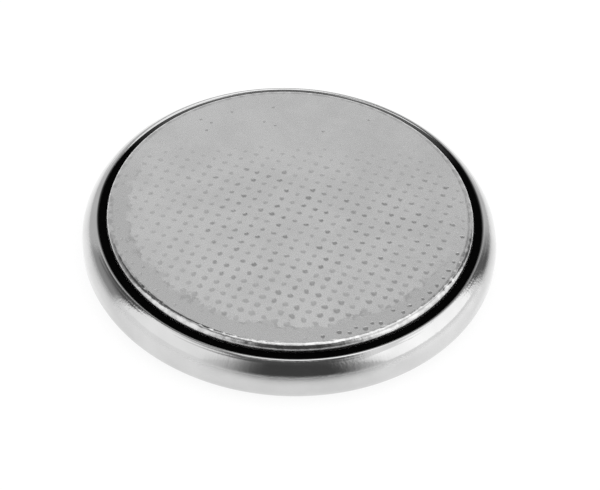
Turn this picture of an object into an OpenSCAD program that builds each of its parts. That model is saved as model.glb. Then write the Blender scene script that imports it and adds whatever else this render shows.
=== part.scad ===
// Lithium coin cell: a drawn steel can, a steel cap and a plastic gasket between them,
// with the anode, separator, cathode and collector sealed inside.
// The origin is the centre of the base, +Z runs up through the cap, and lengths are in mm.

/* [Cell] */
// Diameter over the can
cell_d = 20; // [19.5:0.1:20.5]
// Height from the can's base to the cap's face
cell_h = 2.5; // [2.4:0.05:2.8]
// Thickness of the steel sheet
sheet_t = 0.25; // [0.2:0.01:0.26]

/* [Can] */
// Outer radius of the bend between the base and the wall
can_base_bend_r = 0.75; // [0.5:0.05:0.9]
// Outer radius of the shoulder that is rolled in over the gasket
shoulder_r = 1.35; // [1.2:0.05:1.5]
// Diameter of the opening inside the rolled rim
rim_d = 18.3; // [18.2:0.02:18.4]
// How far the rim lies below the cap's face
rim_drop = 0.35; // [0.3:0.01:0.36]

/* [Cap] */
// Diameter of the cap's raised face
cap_d = 17.65; // [17.4:0.05:17.7]
// Outer radius of the bend around the cap's face
cap_bend_r = 0.31; // [0.26:0.01:0.4]
// Diameter over the cap's skirt
skirt_d = 18.7; // [18.6:0.05:18.8]
// Height of the cap's step above the can's base
step_z = 1.55; // [1.5:0.05:1.6]
// Radius in the corner between the cap's side and its step
step_fillet_r = 0.15; // [0.1:0.01:0.2]

/* [Gasket] */
// Thickness of the gasket under the skirt's edge
gasket_floor_t = 0.3; // [0.2:0.05:0.4]
// Inner diameter of the gasket
gasket_inner_d = 17.5; // [17.2:0.1:17.7]
// Height of the gasket's inner lip above the can's base
gasket_lip_z = 1.0; // [0.8:0.05:1.1]
// Depth of the gasket's top below the cap's face, beside the cap
gasket_top_drop = 0.4; // [0.38:0.01:0.42]
// How much higher the gasket's top is beside the rim
gasket_top_rise = 0.035; // [0.01:0.005:0.04]

/* [Electrodes] */
// Thickness of the collector grid
grid_t = 0.1; // [0.05:0.01:0.15]
// Diameter of the collector grid
grid_d = 14; // [12:0.5:15]
// Distance between the grid's wires, centre to centre
grid_pitch = 1.2; // [1:0.1:1.6]
// Width of the grid's wires
grid_wire_w = 0.4; // [0.2:0.05:0.5]
// Diameter of the cathode pellet
cathode_d = 15.6; // [15:0.1:16.2]
// Thickness of the separator
separator_t = 0.2; // [0.1:0.05:0.25]
// Diameter of the separator
separator_d = 16.8; // [16.4:0.1:16.9]
// Thickness of the lithium disc
anode_t = 0.55; // [0.4:0.05:0.6]
// Diameter of the lithium disc
anode_d = 15.4; // [14.5:0.1:16]

/* [Hidden] */
$fn = 180;

cell_r = cell_d / 2;
rim_z = cell_h - rim_drop;
shoulder_x = cell_r - shoulder_r;
rim_end_x = rim_d / 2 + sheet_t / 2;
rim_angle = asin((rim_end_x - shoulder_x) / (shoulder_r - sheet_t / 2));
rim_end_z = rim_z - sheet_t / 2;
wall_top_z = rim_end_z - (shoulder_r - sheet_t / 2) * cos(rim_angle);
cap_r = cap_d / 2;
skirt_r = skirt_d / 2;
skirt_bottom_z = sheet_t + gasket_floor_t;
gasket_inner_r = gasket_inner_d / 2;
gasket_top_z = cell_h - gasket_top_drop;
gasket_rim_z = gasket_top_z + gasket_top_rise;
cathode_bottom_z = sheet_t + grid_t;
anode_top_z = cell_h - sheet_t;
anode_bottom_z = anode_top_z - anode_t;
separator_bottom_z = anode_bottom_z - separator_t;
pressed_edge_r = 0.1;

// Half section of a drum, filled in to the axis, from z0 to z1.
// Its outer corners are round, with radius r0 below and r1 above.
module drum_section(r, z0, z1, r0, r1) {
    translate([0, z0]) square([r - r0, z1 - z0 - r1]);
    translate([0, z0 + r0]) square([r, z1 - z0 - r0 - r1]);
    translate([0, z0 + r0]) square([r - r1, z1 - z0 - r0]);
    if (r0 > 0) translate([r - r0, z0 + r0]) circle(r0);
    if (r1 > 0) translate([r - r1, z1 - r1]) circle(r1);
}

// The can's shape filled in, set in from its outer surface by inset:
// the base and its bend, the wall, and the shoulder's arc carried on to its top.
module can_filled_section(inset) {
    drum_section(cell_r - inset, inset, wall_top_z, can_base_bend_r - inset, 0);
    translate([0, inset]) square([shoulder_x, wall_top_z + shoulder_r - 2 * inset]);
    intersection() {
        translate([shoulder_x, wall_top_z]) circle(shoulder_r - inset);
        translate([0, can_base_bend_r]) square([cell_r, cell_h]);
    }
}

// The can is one sheet thick, and ends at its rim in a rounded edge.
module can_section() {
    cut_x = 2 * shoulder_r * sin(rim_angle);
    cut_z = 2 * shoulder_r * cos(rim_angle);
    difference() {
        can_filled_section(0);
        can_filled_section(sheet_t);
        translate([0, wall_top_z])
            polygon([[0, 0], [shoulder_x, 0], [shoulder_x + cut_x, cut_z], [0, cut_z]]);
    }
    translate([rim_end_x, rim_end_z]) circle(d = sheet_t);
}

// The cap's shape filled in, set in from its outer surface by inset:
// the raised face, the step with its hollow corner, and the skirt.
module cap_filled_section(inset) {
    corner_r = step_fillet_r + inset;
    corner_x = cap_r + step_fillet_r;
    corner_z = step_z + step_fillet_r;
    drum_section(cap_r - inset, skirt_bottom_z, cell_h - inset, 0, cap_bend_r - inset);
    drum_section(skirt_r - inset, skirt_bottom_z, step_z - inset, 0,
        skirt_r - corner_x - inset);
    difference() {
        translate([corner_x - corner_r, corner_z - corner_r]) square(corner_r);
        translate([corner_x, corner_z]) circle(corner_r);
    }
}

module cap_section() {
    difference() {
        cap_filled_section(0);
        cap_filled_section(sheet_t);
    }
}

// The gasket fills the space between the can and the cap, up to its sloping top,
// and turns up inside the skirt as a short lip.
module gasket_section() {
    difference() {
        union() {
            can_filled_section(sheet_t);
            square([rim_end_x, gasket_rim_z]);
        }
        square([gasket_inner_r, cell_h]);
        square([cell_r, sheet_t]);
        can_section();
        cap_filled_section(0);
        polygon([
            [cap_r - cap_bend_r, gasket_top_z],
            [cap_r, gasket_top_z],
            [rim_end_x, gasket_rim_z],
            [cell_r, gasket_rim_z],
            [cell_r, cell_h],
            [cap_r - cap_bend_r, cell_h]
        ]);
    }
    translate([gasket_inner_r, skirt_bottom_z])
        square([skirt_r - sheet_t - gasket_inner_r, gasket_lip_z - skirt_bottom_z]);
}

module positive_can() {
    color("silver") rotate_extrude() can_section();
}

module gasket() {
    color([0.03, 0.03, 0.03]) rotate_extrude() gasket_section();
}

module negative_cap() {
    color("lightgray") rotate_extrude() cap_section();
}

module lithium_anode() {
    color([0.78, 0.78, 0.76])
        translate([0, 0, anode_bottom_z]) cylinder(d = anode_d, h = anode_t);
}

module separator() {
    color("white")
        translate([0, 0, separator_bottom_z]) cylinder(d = separator_d, h = separator_t);
}

// Pressed powder, with its edges slightly rounded by the die
module cathode_pellet() {
    color([0.12, 0.12, 0.12]) rotate_extrude()
        drum_section(cathode_d / 2, cathode_bottom_z, separator_bottom_z,
            pressed_edge_r, pressed_edge_r);
}

// A disc of sheet with square openings, which leaves a plain rim at its edge
module collector_grid() {
    hole = grid_pitch - grid_wire_w;
    reach = floor(grid_d / 2 / grid_pitch);
    clear_r = grid_d / 2 - grid_wire_w - hole * sqrt(2) / 2;
    color("gray") translate([0, 0, sheet_t]) difference() {
        cylinder(d = grid_d, h = grid_t);
        for (i = [-reach:reach], j = [-reach:reach])
            if (norm([i, j]) * grid_pitch <= clear_r)
                translate([i * grid_pitch - hole / 2, j * grid_pitch - hole / 2, -grid_t])
                    cube([hole, hole, 3 * grid_t]);
    }
}

positive_can();
gasket();
negative_cap();
lithium_anode();
separator();
cathode_pellet();
collector_grid();
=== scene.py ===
# A lithium coin cell, 20 mm across: steel can, gasket and dimpled cap around the CAD frame.
# Outlines and patterns are in millimetres and become metres as each piece is finished.
import math
import random

import bmesh
import bpy
from mathutils import Matrix, Vector, noise


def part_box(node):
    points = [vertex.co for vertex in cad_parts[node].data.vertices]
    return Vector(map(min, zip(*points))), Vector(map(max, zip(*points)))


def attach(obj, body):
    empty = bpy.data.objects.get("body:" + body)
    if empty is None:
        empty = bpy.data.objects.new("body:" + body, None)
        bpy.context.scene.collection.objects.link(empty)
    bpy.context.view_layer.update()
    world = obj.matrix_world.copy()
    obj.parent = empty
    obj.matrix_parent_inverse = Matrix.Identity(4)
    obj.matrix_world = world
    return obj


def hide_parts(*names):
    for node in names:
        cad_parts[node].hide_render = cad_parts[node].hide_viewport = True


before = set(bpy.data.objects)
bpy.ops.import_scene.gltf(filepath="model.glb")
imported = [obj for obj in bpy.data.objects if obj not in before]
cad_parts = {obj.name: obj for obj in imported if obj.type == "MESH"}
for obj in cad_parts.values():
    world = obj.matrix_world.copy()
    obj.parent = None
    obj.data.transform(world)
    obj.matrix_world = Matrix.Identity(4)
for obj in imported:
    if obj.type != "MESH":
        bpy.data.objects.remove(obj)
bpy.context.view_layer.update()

# ---- Positive can ---------------------------------------------------------------------
# The outer cup, deep drawn from bright nickel-plated steel sheet. Its wall is rolled in over
# the gasket by the crimping die, which leaves the sloping shoulder, a faint crease beside the
# rim, and fine draw marks.

MM = 0.001
can_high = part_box("positive_can")[1]
hair = 0.0005  # keeps the mesh a hair inside the CAD box
cell_r = can_high.x / MM - hair
rim_z = can_high.z / MM
sheet_t = 0.25
base_bend_r = 0.75
base_ring = 0.05  # width of a level ring on the base, just inside its bend
shoulder_r = 1.35
opening_r = 9.15
rim_edge_r = sheet_t / 2
rim_x = opening_r + rim_edge_r
rim_mid_z = rim_z - rim_edge_r
shoulder_x = cell_r - shoulder_r
marks_r = 10.0  # the draw marks run as they would over a wall of this radius
# The middle of each rubbed spot on the shoulder, and how rough it is
rubbed_spots = (((-7.2, -6.1, 2.05), 1.0), ((8.8, -3.6, 2.05), 0.7), ((3.2, -9.5, 1.6), 0.4))
wave_depth = 0.009
crease_depth = 0.006
crease_lean = math.radians(36)  # where the crease runs, as the shoulder leans there
crease_spread = 0.022  # in radians too
# Where the painted shade on the inner edge of the rim reaches to, how soft its edge is, and how low it
# goes
rim_shade_r = 9.17
rim_shade_fade = 0.1
rim_shade_low_z = 1.9
rim_lean = math.degrees(math.asin((rim_x - shoulder_x) / (shoulder_r - rim_edge_r)))
wall_top_z = rim_mid_z - (shoulder_r - rim_edge_r) * math.cos(math.radians(rim_lean))
steps_round = 480


def outline_from(x, z):
    """A new half section with one point, and that point."""
    section = bmesh.new()
    return section, section.verts.new((x, 0, z))


def straight_to(section, tip, x, z):
    """Carries the outline straight on to x, z."""
    end = bmesh.ops.extrude_vert_indiv(section, verts=[tip])["verts"][0]
    end.co = (x, 0, z)
    return end


def round_about(section, tip, x, z, degrees, steps):
    """Carries the outline round the centre x, z, anticlockwise where degrees is positive."""
    return bmesh.ops.spin(
        section, geom=[tip], cent=(x, 0, z), axis=(0, -1, 0),
        angle=math.radians(degrees), steps=steps,
    )["geom_last"][0]


def turn_round(section):
    """Turns the half section into a ring or a cup about the cell's axis."""
    bmesh.ops.spin(
        section, geom=section.verts[:] + section.edges[:], cent=(0, 0, 0), axis=(0, 0, 1),
        angle=math.tau, steps=steps_round, use_merge=True,
    )
    bmesh.ops.remove_doubles(section, verts=section.verts, dist=0.0002)
    bmesh.ops.recalc_face_normals(section, faces=section.faces)


def finished(shape, name, material, sharp_degrees=35):
    """Makes the shape a smooth-shaded piece in metres, with its material."""
    bmesh.ops.scale(shape, vec=(MM, MM, MM), verts=shape.verts)
    mesh = bpy.data.meshes.new(name)
    shape.to_mesh(mesh)
    shape.free()
    mesh.shade_smooth()
    mesh.set_sharp_from_angle(angle=math.radians(sharp_degrees))
    mesh.materials.append(material)
    piece = bpy.data.objects.new(name, mesh)
    bpy.context.scene.collection.objects.link(piece)
    return piece


class Finish:
    """A node material, with short calls that add nodes and return their output."""

    def __init__(self, name):
        self.material = bpy.data.materials.new(name)
        self.material.use_nodes = True
        self.tree = self.material.node_tree
        self.shader = self.tree.nodes["Principled BSDF"]
        self.place = self.add("ShaderNodeTexCoord").outputs["Object"]
        self.in_mm = self.vector("SCALE", self.place, Scale=1 / MM)

    def add(self, kind, **settings):
        node = self.tree.nodes.new(kind)
        for key, value in settings.items():
            setattr(node, key, value)
        return node

    def feed(self, socket, value):
        """Links the socket to a node's output, or sets it to a plain value."""
        if isinstance(value, bpy.types.NodeSocket):
            self.tree.links.new(value, socket)
        else:
            socket.default_value = value

    def vector(self, operation, *values, **named):
        node = self.add("ShaderNodeVectorMath", operation=operation)
        for socket, value in zip(node.inputs, values):
            self.feed(socket, value)
        for key, value in named.items():
            self.feed(node.inputs[key], value)
        return node.outputs["Value" if operation == "LENGTH" else "Vector"]

    def math(self, operation, *values):
        node = self.add("ShaderNodeMath", operation=operation)
        for socket, value in zip(node.inputs, values):
            self.feed(socket, value)
        return node.outputs["Value"]

    def split(self, vector):
        """The vector's X, Y and Z."""
        node = self.add("ShaderNodeSeparateXYZ")
        self.feed(node.inputs[0], vector)
        return node.outputs

    def off_axis(self, x, y):
        """The distance of a point at x, y from the cell's axis."""
        squares = self.math("ADD", self.math("MULTIPLY", x, x), self.math("MULTIPLY", y, y))
        return self.math("SQRT", squares)

    def grain(self, per_mm, detail=2.0, rough=0.5, at=None):
        """Cloudy noise with so many features to the millimetre, from 0 to 1."""
        node = self.add("ShaderNodeTexNoise")
        self.feed(node.inputs["Vector"], at or self.in_mm)
        self.feed(node.inputs["Scale"], per_mm)
        self.feed(node.inputs["Detail"], detail)
        self.feed(node.inputs["Roughness"], rough)
        return node.outputs["Fac"]

    def ramp(self, value, low, high, to_low=0.0, to_high=1.0):
        """Value from low to high becomes to_low to to_high, smoothly and no further."""
        node = self.add("ShaderNodeMapRange", interpolation_type="SMOOTHSTEP")
        for socket, number in zip(node.inputs, (value, low, high, to_low, to_high)):
            self.feed(socket, number)
        return node.outputs["Result"]

    def blend(self, part, first, second):
        """The first colour where part is 0, the second where it is 1, and a mix between."""
        node = self.add("ShaderNodeMix", data_type="RGBA")
        self.feed(node.inputs["Factor"], part)
        self.feed(node.inputs["A"], first)
        self.feed(node.inputs["B"], second)
        return node.outputs["Result"]

    def bump(self, height, distance_mm, under=None):
        """The normal over a height so many millimetres high, on top of the one under it."""
        node = self.add("ShaderNodeBump")
        self.feed(node.inputs["Strength"], 1.0)
        self.feed(node.inputs["Distance"], distance_mm * MM)
        self.feed(node.inputs["Height"], height)
        if under is not None:
            self.feed(node.inputs["Normal"], under)
        return node.outputs["Normal"]


def grey(level):
    return (level, level, level, 1.0)


def can_steel():
    f = Finish("can_steel")
    x, y, z = f.split(f.in_mm)
    radius = f.off_axis(x, y)
    outwards = f.math("DIVIDE", marks_r, f.math("MAXIMUM", radius, 1.0))
    on_wall = f.vector("SCALE", f.in_mm, Scale=outwards)
    draw_marks = f.grain(3.0, 3.0, 0.6, at=f.vector("MULTIPLY", on_wall, (1.0, 1.0, 0.04)))
    patches = f.ramp(f.grain(0.35, 2.0), 0.45, 0.6)
    peeling = f.math("ADD", 0.35, f.math("MULTIPLY", patches, 0.65))
    for middle, roughened in rubbed_spots:
        off_spot = f.vector("LENGTH", f.vector("SUBTRACT", f.in_mm, middle))
        peeling = f.math("ADD", peeling, f.ramp(off_spot, 0.5, 1.3, roughened, 0.0))
    peel = f.math("MULTIPLY", f.grain(9.0, 2.0), peeling)
    fine = f.grain(24.0, 2.0)
    clouds = f.grain(0.45, 3.0)
    steel = f.blend(f.ramp(clouds, 0.35, 0.65), grey(0.61), grey(0.66))
    # Painted shade, near black, on the inner edge of the rim next to the gasket; it runs out towards
    # the back
    rearward = f.math("SUBTRACT", y, f.math("MULTIPLY", x, 0.15))
    reach = f.math("ADD", radius, f.ramp(rearward, 2.5, 9.0, -0.04, 0.14))
    near_rim = f.ramp(reach, rim_shade_r, rim_shade_r + rim_shade_fade, 1.0, 0.0)
    rim_shaded = f.math("MULTIPLY", near_rim, f.ramp(z, rim_shade_low_z, rim_shade_low_z + 0.05))
    f.feed(f.shader.inputs["Base Color"], f.blend(rim_shaded, steel, grey(0.02)))
    f.feed(f.shader.inputs["Roughness"], f.ramp(f.grain(1.6, 4.0), 0.3, 0.7, 0.07, 0.12))
    f.shader.inputs["Metallic"].default_value = 1.0
    marks = f.bump(draw_marks, 0.0022)
    dimpled = f.bump(peel, 0.0032, under=marks)
    f.feed(f.shader.inputs["Normal"], f.bump(fine, 0.0006, under=dimpled))
    return f.material


def worn_shoulder(shape):
    """Pushes the rolled shoulder in by a few thousandths, in slow waves and one crimp crease."""
    for v in shape.verts:
        radius = math.hypot(v.co.x, v.co.y)
        lean = math.atan2(radius - shoulder_x, v.co.z - wall_top_z)
        off_centre = math.hypot(radius - shoulder_x, v.co.z - wall_top_z)
        on_shoulder = abs(off_centre - shoulder_r) < 0.002 and v.co.z > wall_top_z - 0.01
        if not on_shoulder:
            continue
        outwards = Vector((v.co.x / radius * math.sin(lean), v.co.y / radius * math.sin(lean),
                           math.cos(lean)))
        waves = 0.5 + 0.5 * noise.noise(v.co * 0.45) + 0.28 * noise.noise(v.co * 1.3)
        crease = math.exp(-((lean - crease_lean) / crease_spread) ** 2)
        patchy = 0.5 + 0.8 * noise.noise(Vector((v.co.x, v.co.y, 4.0)) * 0.6)
        pushed = wave_depth * max(waves, 0.0) + crease_depth * crease * max(patchy, 0.0)
        v.co -= outwards * pushed


section, tip = outline_from(0, 0)
tip = straight_to(section, tip, cell_r - base_bend_r - base_ring, 0)
tip = straight_to(section, tip, cell_r - base_bend_r, 0)
tip = round_about(section, tip, cell_r - base_bend_r, base_bend_r, 90, 28)
tip = straight_to(section, tip, cell_r, wall_top_z)
tip = round_about(section, tip, shoulder_x, wall_top_z, 90 - rim_lean, 48)
tip = round_about(section, tip, rim_x, rim_mid_z, 180, 16)
tip = round_about(section, tip, shoulder_x, wall_top_z, rim_lean - 90, 12)
tip = straight_to(section, tip, cell_r - sheet_t, base_bend_r)
tip = round_about(section, tip, cell_r - base_bend_r, base_bend_r, -90, 8)
tip = straight_to(section, tip, 0, sheet_t)
turn_round(section)
worn_shoulder(section)
can = finished(section, "can_cup", can_steel())
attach(can, "root")
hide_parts("positive_can")

# ---- Collector grid -------------------------------------------------------------------
# A thin pierced steel foil on the floor of the can, spot welded there. It carries the current
# from the pellet to the can.


def grid_steel():
    f = Finish("grid_steel")
    f.feed(f.shader.inputs["Base Color"], f.blend(f.grain(2.0, 3.0), grey(0.42), grey(0.55)))
    f.feed(f.shader.inputs["Roughness"], f.ramp(f.grain(6.0, 3.0), 0.3, 0.7, 0.3, 0.5))
    f.shader.inputs["Metallic"].default_value = 1.0
    rolled = f.grain(9.0, 2.0, at=f.vector("MULTIPLY", f.in_mm, (0.1, 1.0, 1.0)))
    f.feed(f.shader.inputs["Normal"], f.bump(rolled, 0.003))
    return f.material


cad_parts["collector_grid"].material_slots[0].material = grid_steel()

# ---- Cathode pellet -------------------------------------------------------------------
# Black manganese dioxide powder with a little carbon, pressed in a die into a firm tablet.
# It lies on the collector grid and takes up most of the can.


def cathode_powder():
    f = Finish("cathode_powder")
    grains = f.grain(14.0, 4.0, 0.65)
    f.feed(f.shader.inputs["Base Color"], f.blend(grains, grey(0.025), grey(0.075)))
    f.feed(f.shader.inputs["Roughness"], f.ramp(f.grain(5.0), 0.3, 0.7, 0.75, 0.92))
    f.feed(f.shader.inputs["Normal"], f.bump(grains, 0.02))
    return f.material


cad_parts["cathode_pellet"].material_slots[0].material = cathode_powder()

# ---- Separator ------------------------------------------------------------------------
# A disc of white non-woven polypropylene felt, soaked with electrolyte, that keeps the two
# electrodes apart.


def separator_felt():
    f = Finish("separator_felt")
    bent = f.vector("ADD", f.in_mm, f.vector("SCALE", f.in_mm, Scale=f.grain(1.5)))
    one_way = f.grain(16.0, 2.0, at=f.vector("MULTIPLY", bent, (0.12, 1.0, 1.0)))
    other_way = f.grain(16.0, 2.0, at=f.vector("MULTIPLY", bent, (1.0, 0.12, 1.0)))
    fibres = f.math("MAXIMUM", one_way, other_way)
    f.feed(f.shader.inputs["Base Color"],
           f.blend(f.ramp(fibres, 0.4, 0.7), (0.7, 0.7, 0.68, 1.0), (0.87, 0.87, 0.85, 1.0)))
    f.feed(f.shader.inputs["Roughness"], f.ramp(fibres, 0.4, 0.7, 0.95, 0.7))
    f.feed(f.shader.inputs["Normal"], f.bump(fibres, 0.015))
    return f.material


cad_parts["separator"].material_slots[0].material = separator_felt()

# ---- Gasket ---------------------------------------------------------------------------
# The black polypropylene ring that seals and insulates the cap from the can. It is moulded,
# and the crimp squeezes its top into a low crown between the two metal edges.

cap_low, cap_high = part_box("negative_cap")
top_z = cap_high.z / MM
cap_r = 8.825
skirt_r = cap_high.x / MM
skirt_end_z = cap_low.z / MM
step_z = 1.55
step_fillet_r = 0.15
step_bend_r = skirt_r - cap_r - step_fillet_r
gasket_inner_r = 8.75
gasket_lip_z = 1.0
gasket_top_z = top_z - 0.4
crown_rise = 0.015
crown_round = 0.19
gasket_chamfer_in = 0.35
gasket_chamfer_up = 0.62
skirt_inner_r = skirt_r - sheet_t
meet_angle = math.radians(36)  # where the gasket meets the rounded edge of the rim
rim_meets_x = rim_x - rim_edge_r * math.cos(meet_angle)
rim_meets_z = rim_mid_z + rim_edge_r * math.sin(meet_angle)
crown_x = (cap_r + rim_meets_x) / 2
crown_z = (gasket_top_z + rim_meets_z) / 2 + crown_rise


def gasket_plastic():
    f = Finish("gasket_plastic")
    black = f.blend(f.grain(3.0, 3.0), grey(0.0002), grey(0.001))
    # Painted sheen: the ring is coloured grey towards the back
    back_sheen = f.ramp(f.split(f.in_mm)["Y"], 4.0, 9.0)
    f.feed(f.shader.inputs["Base Color"], f.blend(back_sheen, black, grey(0.12)))
    f.feed(f.shader.inputs["Roughness"], f.ramp(f.grain(4.0, 3.0), 0.3, 0.7, 0.4, 0.55))
    f.shader.inputs["Specular IOR Level"].default_value = 0.012
    f.feed(f.shader.inputs["Normal"], f.bump(f.grain(10.0, 2.0), 0.002))
    return f.material


section, start = outline_from(cap_r, gasket_top_z)
crown = straight_to(section, start, crown_x, crown_z)
tip = straight_to(section, crown, rim_meets_x, rim_meets_z)
bmesh.ops.bevel(section, geom=[crown], affect="VERTICES", offset=crown_round, segments=12,
                profile=0.5, material=-1)
tip = straight_to(section, tip, rim_meets_x, rim_mid_z)
tip = straight_to(section, tip, rim_x, rim_mid_z - rim_edge_r)
tip = straight_to(section, tip, cell_r - sheet_t - gasket_chamfer_in, wall_top_z + gasket_chamfer_up)
tip = straight_to(section, tip, cell_r - sheet_t, wall_top_z)
tip = straight_to(section, tip, cell_r - sheet_t, base_bend_r)
tip = round_about(section, tip, cell_r - base_bend_r, base_bend_r, -90, 6)
tip = straight_to(section, tip, gasket_inner_r, sheet_t)
tip = straight_to(section, tip, gasket_inner_r, gasket_lip_z)
tip = straight_to(section, tip, skirt_inner_r, gasket_lip_z)
tip = straight_to(section, tip, skirt_inner_r, skirt_end_z)
tip = straight_to(section, tip, skirt_r, skirt_end_z)
tip = straight_to(section, tip, skirt_r, step_z - step_bend_r)
tip = round_about(section, tip, skirt_r - step_bend_r, step_z - step_bend_r, 90, 6)
tip = round_about(section, tip, cap_r + step_fillet_r, step_z + step_fillet_r, -90, 4)
section.edges.new((tip, start))
turn_round(section)
gasket = finished(section, "gasket_ring", gasket_plastic())
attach(gasket, "root")
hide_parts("gasket")

# ---- Lithium anode --------------------------------------------------------------------
# A disc punched from soft lithium sheet and pressed onto the inside of the cap. Its surface
# is dull and slightly mottled where it has met the electrolyte.


def lithium_metal():
    f = Finish("lithium_metal")
    bloom = f.grain(1.2, 4.0, 0.6)
    f.feed(f.shader.inputs["Base Color"],
           f.blend(f.ramp(bloom, 0.35, 0.7), (0.66, 0.66, 0.64, 1.0), (0.45, 0.45, 0.44, 1.0)))
    f.feed(f.shader.inputs["Roughness"], f.ramp(bloom, 0.35, 0.7, 0.35, 0.6))
    f.shader.inputs["Metallic"].default_value = 1.0
    f.feed(f.shader.inputs["Normal"], f.bump(f.grain(5.0, 3.0), 0.006))
    return f.material


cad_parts["lithium_anode"].material_slots[0].material = lithium_metal()

# ---- Negative cap ---------------------------------------------------------------------
# The inner cup of stainless sheet. A knurled punch presses a square grid of small pits into
# its satin face, the drawing die leaves the bend around the face bright, and the skirt below
# the step is gripped by the gasket.

cap_bend_r = 0.31
face_drop = 0.003  # keeps the flat a little below the CAD face, inside its box
face_z = top_z - face_drop
flat_r = cap_r - cap_bend_r
bend_mid_z = face_z - cap_bend_r
pit_pitch = 0.582
pit_turn = math.radians(-20.6)
pit_start = Vector((-0.004, -1.128))
pit_shift = 0.012
pit_r = 0.15
pit_margin = 0.03
pit_uneven = 0.12
pit_field_r = 7.95
pit_field_mid = Vector((0.05, 0.35))
pit_edge_gap = 0.34  # from the edge of the flat to the nearest middle of a pit
# A pit is a level ring, a slope down to its pan, the pan's floor, and a slope down to its core
pit_rings = (0.012, 0.028, 0.018, 0.014)
# How deep the pan and the core inside it go, from the faintest pits to the strongest
pan_depths = (0.0004, 0.0009, 0.0014, 0.002, 0.0026, 0.0033, 0.004)
core_depths = (0.0, 0.0, 0.0008, 0.0014, 0.002, 0.003, 0.0045)
speck_r = 0.12
speck_reach = flat_r - speck_r - 0.1
edge_band = 0.3  # where the faint specks lie, inwards from the edge of the flat
deep_band = 0.7  # and where the deep ones lie
# Each speck goes in by steps of a width and a drop, and the first is a level ring
deep_speck_steps = ((0.013, 0.0), (0.026, 0.0105), (0.02, 0.0006))
faint_speck_steps = ((0.012, 0.0), (0.025, 0.0042))
lone_speck_steps = ((0.012, 0.0), (0.022, 0.0058))
pits_across = math.ceil(cell_r / pit_pitch)
pit_seed = 7
bend_dent = 0.015
bend_dent_r = 0.09
bend_dent_reach = 0.3
bend_ripple = 0.004
rim_ring = 0.03  # width of the level rings at the edge of the flat
inner_corner = 0.02


def cap_steel():
    f = Finish("cap_steel")
    x, y, z = f.split(f.in_mm)
    burnished = f.ramp(f.off_axis(x, y), flat_r - 0.08, flat_r + 0.06)
    on_flat = f.math("SUBTRACT", 1.0, burnished)

    def sunk(shallow, deep):
        """0 where the flat lies above shallow and 1 where it lies below deep."""
        return f.math("MULTIPLY", f.ramp(z, face_z - deep, face_z - shallow, 1.0, 0.0), on_flat)

    # Masks for the painted shade in the pits, their cores and the specks
    in_pan = sunk(0.0003, 0.0026)
    in_core = sunk(0.0028, 0.0085)
    in_speck = sunk(0.009, 0.0105)
    clouds = f.math("ADD", f.math("MULTIPLY", f.grain(0.4, 3.0), 0.7),
                    f.math("MULTIPLY", f.grain(2.2, 3.0), 0.3))
    level = f.vector("MULTIPLY", f.in_mm, (1.0, 1.0, 0.0))
    off_mid = f.vector("LENGTH", f.vector("SUBTRACT", level, (*pit_field_mid, 0.0)))
    ragged = f.math("ADD", off_mid, f.math("MULTIPLY", f.grain(1.4, 3.0, 0.6), 1.6))
    # Painted shade: a ragged darker band along the front edge of the flat, with darker spots in it
    at_front = f.ramp(f.math("ADD", y, f.math("MULTIPLY", x, 0.35)), -3.5, 2.5, 1.0, 0.0)
    front_edge_shade = f.math("MULTIPLY", f.ramp(ragged, pit_field_r + 0.55, pit_field_r + 0.8), at_front)
    edging = f.math("MULTIPLY", f.ramp(ragged, pit_field_r + 0.6, pit_field_r + 0.7),
                    f.ramp(ragged, pit_field_r + 0.75, pit_field_r + 0.95, 1.0, 0.0))
    front_edging = f.math("MULTIPLY", edging, at_front)
    edge_shade_spots = f.math("MULTIPLY", front_edging, f.ramp(f.grain(1.7), 0.5, 0.58))
    colour = f.blend(f.ramp(clouds, 0.38, 0.62), grey(0.71), grey(0.76))
    colour = f.blend(front_edge_shade, colour, grey(0.63))
    colour = f.blend(edge_shade_spots, colour, grey(0.53))
    # Painted shade in the pits and specks: the deeper they go, the darker their colour
    colour = f.blend(in_pan, colour, grey(0.62))
    colour = f.blend(in_core, colour, grey(0.4))
    colour = f.blend(in_speck, colour, grey(0.33))
    rubbed = f.blend(f.ramp(f.grain(3.5, 3.0), 0.4, 0.62), grey(0.69), grey(0.52))
    f.feed(f.shader.inputs["Base Color"], f.blend(burnished, colour, rubbed))
    satin = f.ramp(f.grain(9.0, 3.0), 0.3, 0.7, 0.25, 0.31)
    drawn = f.ramp(z, face_z - 0.3, face_z - 0.08, 0.2, 0.0)
    bright = f.math("ADD", f.ramp(f.grain(3.0, 3.0), 0.3, 0.7, 0.08, 0.14), drawn)
    smooth = f.math("ADD", f.math("MULTIPLY", satin, on_flat), f.math("MULTIPLY", bright, burnished))
    f.feed(f.shader.inputs["Roughness"], f.math("ADD", smooth, f.math("MULTIPLY", in_pan, 0.04)))
    f.shader.inputs["Metallic"].default_value = 1.0
    lumps = f.math("MULTIPLY", f.grain(4.0, 2.0), f.math("ADD", 0.04, burnished))
    f.feed(f.shader.inputs["Normal"], f.bump(f.grain(12.0, 2.0), 0.0003, under=f.bump(lumps, 0.01)))
    return f.material


def how_far(value, start, end):
    """How far value has come on its way from start to end, from 0 to 1."""
    return min(max((value - start) / (end - start), 0.0), 1.0)


def pit_strength(place):
    """How deep the punch went in at a place, from 0 to 1: least at the back and at the left."""
    back = how_far(place.y, 2.2, 5.4)
    left = how_far(place.x, -2.0, -8.0)
    outside = how_far((place - pit_field_mid).length, pit_field_r - 0.15, pit_field_r + 0.05)
    return (1 - 0.87 * back) * (1 - 0.45 * left) * (1 - 0.8 * outside)


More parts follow.
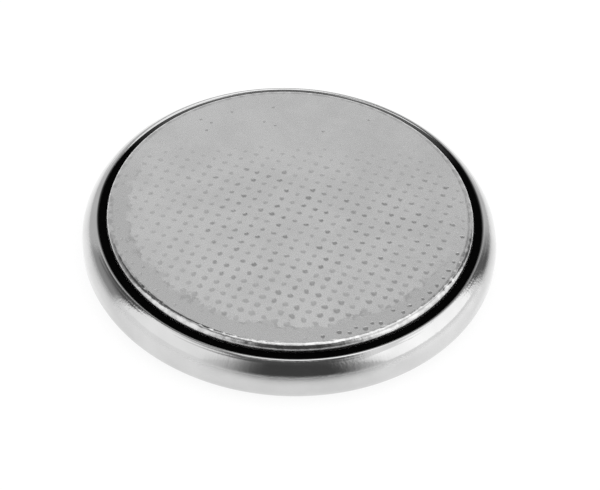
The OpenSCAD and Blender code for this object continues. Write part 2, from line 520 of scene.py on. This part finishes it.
def pit_places():
    """The grid's points inside the cap's side, each shifted a little off its place."""
    chance = random.Random(pit_seed)
    along = Vector((math.cos(pit_turn), math.sin(pit_turn))) * pit_pitch
    across = Vector((-math.sin(pit_turn), math.cos(pit_turn))) * pit_pitch
    places = []
    for i in range(-pits_across, pits_across + 1):
        for j in range(-pits_across, pits_across + 1):
            place = pit_start + along * i + across * j
            shift = Vector((chance.gauss(0, pit_shift), chance.gauss(0, pit_shift)))
            if (place + shift).length < cap_r:
                places.append(place + shift)
    return places


def pit_outline(shape, place, radius, stretch, chance):
    """An octagon on the open face, uneven like a worn punch's mark. Returns its one face."""
    turned = Matrix.Rotation(chance.uniform(-0.5, 0.5), 4, "Z") @ Matrix.Diagonal((*stretch, 1, 1))
    spot = Matrix.Translation((place.x, place.y, face_z)) @ turned
    made = bmesh.ops.create_circle(shape, cap_ends=True, segments=8, radius=radius, matrix=spot)
    for v in made["verts"]:
        v.co.xy += Vector((chance.uniform(-1, 1), chance.uniform(-1, 1))) * pit_uneven * radius
    return made["verts"][0].link_faces[0]


def press_in(shape, outlines, steps):
    """Sinks the outlined faces into the flat, by steps of a width and a drop."""
    for width, drop in steps:
        bmesh.ops.inset_individual(shape, faces=outlines, thickness=width, depth=-drop)


def press_pits(shape):
    """Fills the open face with a flat sheet, and presses the grid's pits and specks into it.

    The specks are smaller: deep ones along the front right edge, faint ones along the rest of
    the front, and lone ones at the back.
    """
    chance = random.Random(pit_seed + 1)
    rim = [e for e in shape.edges if e.is_boundary]
    batches = [[] for depth in pan_depths]
    deep_specks = []
    faint_specks = []
    lone_specks = []
    for place in pit_places():
        front = how_far(place.y, -2.0, -6.0)
        strength = pit_strength(place) * chance.uniform(0.57 + 0.03 * front, 0.93 - 0.13 * front)
        wide = 0.74 + 0.26 * strength + 0.1 * front
        stretch = (wide * chance.uniform(0.9, 1.12),
                   wide * chance.uniform(0.85, 1.05) * (0.98 + 0.25 * front))
        inside = place.length < flat_r - pit_edge_gap
        at_edge = flat_r - edge_band < place.length < flat_r
        front_right = place.x > 1.2 and place.y < -1.0
        if front_right and flat_r - deep_band < place.length < flat_r and chance.random() < 0.75:
            outwards = 0.06 if place.y < -5.5 else 0.35
            place.length = min(place.length + outwards, speck_reach)
            stretch = (chance.uniform(0.75, 1.1), chance.uniform(0.75, 1.1))
            deep_specks.append(pit_outline(shape, place, speck_r + 0.02, stretch, chance))
        elif inside and strength > 0.1:
            pit = pit_outline(shape, place, pit_r + pit_margin, stretch, chance)
            batches[min(int(strength * len(pan_depths)), len(pan_depths) - 1)].append(pit)
        elif at_edge and place.y < 2.5 and chance.random() < 0.85:
            place.length = min(place.length + 0.06, speck_reach)
            faint_specks.append(pit_outline(shape, place, speck_r, (1, 1), chance))
        elif inside and chance.random() < 0.14:
            lone_specks.append(pit_outline(shape, place, speck_r - 0.02, (1, 1), chance))
    outlines = sum(batches, []) + deep_specks + faint_specks + lone_specks
    edges = rim + [e for outline in outlines for e in outline.edges]
    bmesh.ops.triangle_fill(shape, use_beauty=True, edges=edges, normal=(0, 0, 1))
    bmesh.ops.recalc_face_normals(shape, faces=shape.faces)
    level, pan_slope, pan_floor, core_slope = pit_rings
    for pan, core, batch in zip(pan_depths, core_depths, batches):
        press_in(shape, batch, ((level, 0.0), (pan_slope, pan)))
        if core > 0:
            press_in(shape, batch, ((pan_floor, 0.0), (core_slope, core)))
    press_in(shape, deep_specks, deep_speck_steps)
    press_in(shape, faint_specks, faint_speck_steps)
    press_in(shape, lone_specks, lone_speck_steps)


def dent_bend(shape):
    """Presses the punch's outermost points into the bend, where they blur its bright line."""
    edge_pits = [p for p in pit_places() if p.length > flat_r - pit_r]
    bend = [v for v in shape.verts
            if v.co.z > bend_mid_z and flat_r - 0.02 < math.hypot(v.co.x, v.co.y) < cap_r + 0.01]
    for v in bend:
        near = sum(math.exp(-((v.co.xy - p).length / bend_dent_r) ** 2) for p in edge_pits
                   if (v.co.xy - p).length < bend_dent_reach)
        dent = bend_dent * (1 + 0.6 * how_far(v.co.x, 4.0, 7.0))
        v.co.z -= dent * near + bend_ripple * (0.5 + 0.5 * noise.noise(v.co * 2.2))


section, tip = outline_from(flat_r - 2 * rim_ring, face_z)
tip = straight_to(section, tip, flat_r - rim_ring, face_z)
tip = straight_to(section, tip, flat_r, face_z)
tip = round_about(section, tip, flat_r, bend_mid_z, -90, 20)
tip = straight_to(section, tip, cap_r, step_z + step_fillet_r)
tip = round_about(section, tip, cap_r + step_fillet_r, step_z + step_fillet_r, 90, 6)
tip = round_about(section, tip, skirt_r - step_bend_r, step_z - step_bend_r, -90, 10)
tip = straight_to(section, tip, skirt_r, skirt_end_z)
tip = straight_to(section, tip, skirt_inner_r, skirt_end_z)
tip = straight_to(section, tip, skirt_inner_r, step_z - step_bend_r)
tip = round_about(section, tip, skirt_r - step_bend_r, step_z - step_bend_r, 90, 6)
tip = round_about(section, tip, cap_r + step_fillet_r, step_z + step_fillet_r, -90, 6)
tip = straight_to(section, tip, cap_r - sheet_t, top_z - sheet_t - inner_corner)
tip = straight_to(section, tip, cap_r - sheet_t - inner_corner, top_z - sheet_t)
tip = straight_to(section, tip, 0, top_z - sheet_t)
turn_round(section)
press_pits(section)
dent_bend(section)
cap = finished(section, "cap_cup", cap_steel(), sharp_degrees=65)
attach(cap, "root")
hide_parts("negative_cap")

# ---- Table ----------------------------------------------------------------------------
# A plain white table top under the cell. It belongs to the studio and not to the cell.
# The camera sees it as an even white, and it keeps the cell's soft shadow; the metal sees it glow
# brighter behind the cell than ahead of it, a painted pool of light.

table_r = 3000.0
# The camera's white, and the painted glow that the metal sees ahead of and behind the cell
white_to_camera = 1.05
white_ahead = 0.98
white_behind = 1.5


def white_table():
    f = Finish("white_table")
    seen = f.add("ShaderNodeLightPath").outputs
    mirrored = seen["Is Glossy Ray"]
    lit = f.math("MAXIMUM", seen["Is Camera Ray"],
                 f.math("MAXIMUM", mirrored, seen["Is Transmission Ray"]))
    f.feed(f.shader.inputs["Base Color"], grey(0.9))
    f.feed(f.shader.inputs["Roughness"], 0.7)
    f.shader.inputs["Specular IOR Level"].default_value = 0.0
    glow = f.add("ShaderNodeEmission")
    # Painted light: the metal sees the table glow brighter from front to back
    painted_pool = f.ramp(f.split(f.in_mm)["Y"], -16.0, 16.0, white_ahead, white_behind)
    to_metal = f.math("MULTIPLY", painted_pool, mirrored)
    to_camera = f.math("SUBTRACT", white_to_camera, f.math("MULTIPLY", 0.5, mirrored))
    f.feed(glow.inputs["Strength"], f.math("MAXIMUM", to_metal, to_camera))
    plain_mix = f.add("ShaderNodeMixShader")
    f.feed(plain_mix.inputs["Fac"], f.math("MULTIPLY", lit, 0.8))
    f.feed(plain_mix.inputs[1], f.shader.outputs[0])
    f.feed(plain_mix.inputs[2], glow.outputs[0])
    sheen = f.add("ShaderNodeBsdfGlossy")
    sheen.inputs["Roughness"].default_value = 0.2
    sheen.inputs["Color"].default_value = grey(1.0)
    grazing = f.add("ShaderNodeFresnel").outputs[0]
    sheen_mix = f.add("ShaderNodeMixShader")
    f.feed(sheen_mix.inputs["Fac"], f.math("MULTIPLY", grazing, mirrored))
    f.feed(sheen_mix.inputs[1], plain_mix.outputs[0])
    f.feed(sheen_mix.inputs[2], sheen.outputs[0])
    f.feed(f.tree.nodes["Material Output"].inputs["Surface"], sheen_mix.outputs[0])
    return f.material


shape = bmesh.new()
bmesh.ops.create_circle(shape, cap_ends=True, segments=96, radius=table_r)
table = finished(shape, "table", white_table())

# ---- Studio ---------------------------------------------------------------------------
# White surroundings, with soft lamps at the left, at the right and overhead. The dark cards
# stand where the camera and the gaps between the lamps are, and only the metal sees them.

world = bpy.data.worlds.new("studio")
world.use_nodes = True
world.node_tree.nodes["Background"].inputs["Color"].default_value = grey(1.0)
world.node_tree.nodes["Background"].inputs["Strength"].default_value = 1.0
bpy.context.scene.world = world

lamp_away = 600.0
card_away = 480.0


def towards(azimuth, elevation):
    """The direction at so many degrees from +X, and so many above the table."""
    a, e = math.radians(azimuth), math.radians(elevation)
    return Vector((math.cos(a) * math.cos(e), math.sin(a) * math.cos(e), math.sin(e)))


def soft_lamp(name, azimuth, elevation, wide, high, level):
    """An area lamp that looks at the cell, and adds level to the white that the metal sees."""
    lamp = bpy.data.lights.new(name, "AREA")
    lamp.shape = "RECTANGLE"
    lamp.size = 2 * lamp_away * MM * math.tan(math.radians(wide / 2))
    lamp.size_y = 2 * lamp_away * MM * math.tan(math.radians(high / 2))
    lamp.energy = level * math.pi * lamp.size * lamp.size_y
    stand = bpy.data.objects.new(name, lamp)
    outwards = towards(azimuth, elevation)
    stand.rotation_euler = outwards.to_track_quat("Z", "Y").to_euler()
    stand.location = outwards * lamp_away * MM
    bpy.context.scene.collection.objects.link(stand)


def card_black(name, azimuths, elevations, level, soft_sides, soft_ends):
    """A dim glow between two azimuths and two elevations, which fades to clear at its edges."""
    f = Finish(name)
    middle = math.radians(sum(azimuths) / 2)
    half_wide = (azimuths[1] - azimuths[0]) / 2
    low, high = elevations
    x, y, z = f.split(f.vector("NORMALIZE", f.place))
    ahead = f.math("ADD", f.math("MULTIPLY", x, math.cos(middle)),
                   f.math("MULTIPLY", y, math.sin(middle)))
    aside = f.math("SUBTRACT", f.math("MULTIPLY", y, math.cos(middle)),
                   f.math("MULTIPLY", x, math.sin(middle)))
    turn = f.math("ABSOLUTE", f.math("DEGREES", f.math("ARCTAN2", aside, ahead)))
    rise = f.math("DEGREES", f.math("ARCSINE", z))
    in_turn = f.ramp(turn, half_wide - soft_sides, half_wide + soft_sides, 1.0, 0.0)
    above_low = f.ramp(rise, low - soft_ends, low + soft_ends)
    below_high = f.ramp(rise, high - soft_ends, high + soft_ends, 1.0, 0.0)
    glow = f.add("ShaderNodeEmission")
    glow.inputs["Color"].default_value = grey(1.0)
    glow.inputs["Strength"].default_value = level
    clear = f.add("ShaderNodeBsdfTransparent")
    mixed = f.add("ShaderNodeMixShader")
    f.feed(mixed.inputs["Fac"], f.math("MULTIPLY", in_turn, f.math("MULTIPLY", above_low, below_high)))
    f.feed(mixed.inputs[1], clear.outputs[0])
    f.feed(mixed.inputs[2], glow.outputs[0])
    f.feed(f.tree.nodes["Material Output"].inputs["Surface"], mixed.outputs[0])
    return f.material


def dark_card(name, azimuths, elevations, level, soft_sides, soft_ends, away=card_away):
    """A curved card round the cell, large enough for the soft edges of its black."""
    shape = bmesh.new()
    start = azimuths[0] - soft_sides
    corner = shape.verts.new(towards(start, elevations[0] - soft_ends) * away)
    side = towards(start - 90, 0)
    high = math.radians(elevations[1] - elevations[0] + 2 * soft_ends)
    wide = math.radians(azimuths[1] - azimuths[0] + 2 * soft_sides)
    bmesh.ops.spin(shape, geom=[corner], cent=(0, 0, 0), axis=side, angle=high, steps=24)
    bmesh.ops.spin(shape, geom=shape.verts[:] + shape.edges[:], cent=(0, 0, 0), axis=(0, 0, 1),
                   angle=wide, steps=32)
    black = card_black(name, azimuths, elevations, level, soft_sides, soft_ends)
    card = finished(shape, name, black)
    card.visible_camera = False
    card.visible_shadow = False
    card.visible_diffuse = False


soft_lamp("lamp_left", 208, 32, 48, 40, 0.12)
soft_lamp("lamp_right", 347, 28, 56, 38, 0.42)
soft_lamp("lamp_overhead", 70, 74, 44, 40, 0.5)
dark_card("card_camera_side", (242.5, 312), (1, 66), 0.07, 18, 12)
dark_card("card_above_camera", (228, 325), (56, 67), 0.08, 8, 5, 470.0)
dark_card("card_above_left", (186, 233), (58, 74), 0.2, 15, 8, 475.0)
dark_card("card_above_back", (97, 168), (53, 74), 0.1, 6, 5, 465.0)
dark_card("card_left_gap", (149, 180), (0, 58), 0.36, 5, 8, 460.0)
dark_card("card_left_gap_top", (148, 180), (26, 58), 0.09, 5, 13, 445.0)
dark_card("card_right_gap", (23, 38), (-1, 42), 0.13, 4, 6, 455.0)
dark_card("card_right_gap_edge", (34, 46), (-1, 40), 0.36, 6, 6, 457.0)
dark_card("card_right_top_gap", (43, 84), (40, 57), 0.36, 9, 7, 450.0)
dark_card("card_back", (46, 150), (-5, 54), 0.64, 6, 7, 490.0)

# ---- Camera ---------------------------------------------------------------------------
# It looks down on the cell from the front with a long lens, and leans a little to one side.
# Angles are in degrees and distances in millimetres.

camera_rise = 44.92
camera_lean = 2.95
camera_away = 132.39
look_at_right = 0.524
look_at_up = 0.220
camera = bpy.data.objects.new("camera", bpy.data.cameras.new("camera"))
camera.data.lens = 163.7
camera.data.sensor_width = 36.0
camera.data.clip_start = 0.005
turned = Matrix.Rotation(math.radians(90 - camera_rise), 4, "X")
aim = turned @ Vector((look_at_right * MM, look_at_up * MM, camera_away * MM))
camera.matrix_world = Matrix.Translation(aim) @ turned @ Matrix.Rotation(
    math.radians(camera_lean), 4, "Z")
bpy.context.scene.collection.objects.link(camera)
bpy.context.scene.camera = camera
bpy.context.scene.view_settings.view_transform = "Standard"
